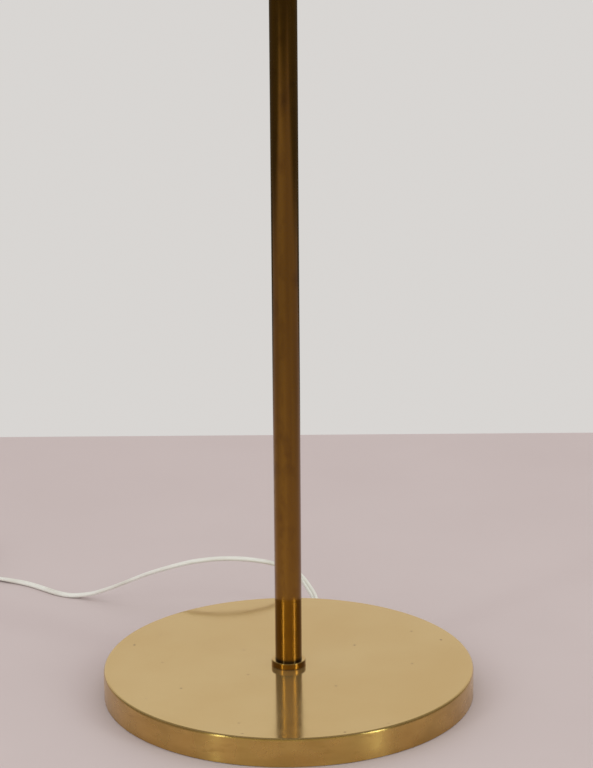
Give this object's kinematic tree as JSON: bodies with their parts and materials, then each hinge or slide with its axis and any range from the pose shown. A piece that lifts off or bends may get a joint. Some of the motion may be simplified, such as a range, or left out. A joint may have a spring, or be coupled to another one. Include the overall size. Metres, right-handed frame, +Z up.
{
  "type": "floor lamp",
  "caption": "Adjustable brass reading floor lamp with a weighted round base, telescoping riser, swing arm, tilting dome shade and rotary switch.",
  "frame": {"origin": "centre of the base's underside, on the floor", "axes": "+Z up along the pole, +X along the swing arm at rest, +Y towards the side where the cord leaves"},
  "size_m": [0.7133, 0.473, 1.2265],
  "materials": {
    "polished_brass": "polished",
    "pole_brass": "polished, lightly tarnished",
    "cast_iron": "rough cast",
    "felt": "matte",
    "zinc_steel": "satin",
    "nylon": "satin",
    "white_pvc": "satin",
    "black_phenolic": "semi-gloss",
    "fibre": "matte",
    "bulb_metal": "bright",
    "bulb_glass": "frosted"
  },
  "bodies": {
    "stand": {"base_cover": "polished_brass", "base_weight": "cast_iron", "base_felt": "felt", "stem_nipple": "zinc_steel", "nipple_washer": "zinc_steel", "nipple_nut": "zinc_steel", "pole_foot_plug": "polished_brass", "pole_collar": "polished_brass", "lower_pole": "pole_brass", "guide_bush": "nylon", "clamp_collar": "polished_brass", "clamp_pad": "polished_brass", "cord_strain_relief": "white_pvc", "stand_lead": "white_pvc", "supply_cord": "white_pvc", "cord_coil": "white_pvc", "cord_tie": "fibre", "plug_body": "white_pvc", "plug_blades": "polished_brass"},
    "clamp_screw": {"clamp_screw": "polished_brass"},
    "riser": {"riser_tube": "pole_brass", "riser_guide": "nylon", "swivel_post": "polished_brass", "swivel_washer": "nylon", "swivel_spring_washer": "zinc_steel", "swivel_nut": "zinc_steel", "swivel_stop_pin": "zinc_steel", "riser_lead": "white_pvc"},
    "arm": {"swivel_housing": "polished_brass", "swivel_cap": "polished_brass", "arm_tube": "pole_brass", "arm_lead": "white_pvc", "knuckle_arm_half": "polished_brass", "knuckle_washer": "fibre", "knuckle_screw": "polished_brass", "knuckle_nut": "polished_brass"},
    "head": {"knuckle_head_half": "polished_brass", "cup_nut": "zinc_steel", "socket_cup": "polished_brass", "socket_body": "black_phenolic", "socket_screw_shell": "bulb_metal", "socket_contact": "polished_brass", "shade": "polished_brass", "shade_ring": "polished_brass", "bulb_cap": "bulb_metal", "bulb_glass": "bulb_glass", "head_lead": "white_pvc", "switch_bush": "polished_brass"},
    "switch": {"switch_shaft": "zinc_steel", "switch_rotor": "nylon", "switch_knob": "black_phenolic"}
  },
  "joints": [
    {"name": "clamp_turn", "type": "hinge", "parent": "stand", "child": "clamp_screw", "pos_m": [-0.022, 0, 0.7125], "axis": [-1, 0, 0], "range_deg": [0, 360]},
    {"name": "height_slide", "type": "slide", "parent": "stand", "child": "riser", "axis": [0, 0, 1], "range_m": [-0.34, 0.12]},
    {"name": "arm_swing", "type": "hinge", "parent": "riser", "child": "arm", "pos_m": [0, 0, 1.1885], "axis": [0, 0, 1], "range_deg": [-165, 165]},
    {"name": "shade_tilt", "type": "hinge", "parent": "arm", "child": "head", "pos_m": [0.3, 0, 1.208], "axis": [0, -1, 0], "range_deg": [-30, 90]},
    {"name": "switch_turn", "type": "hinge", "parent": "head", "child": "switch", "pos_m": [0.3, -0.025, 1.165], "axis": [0, -1, 0], "continuous": true}
  ]
}
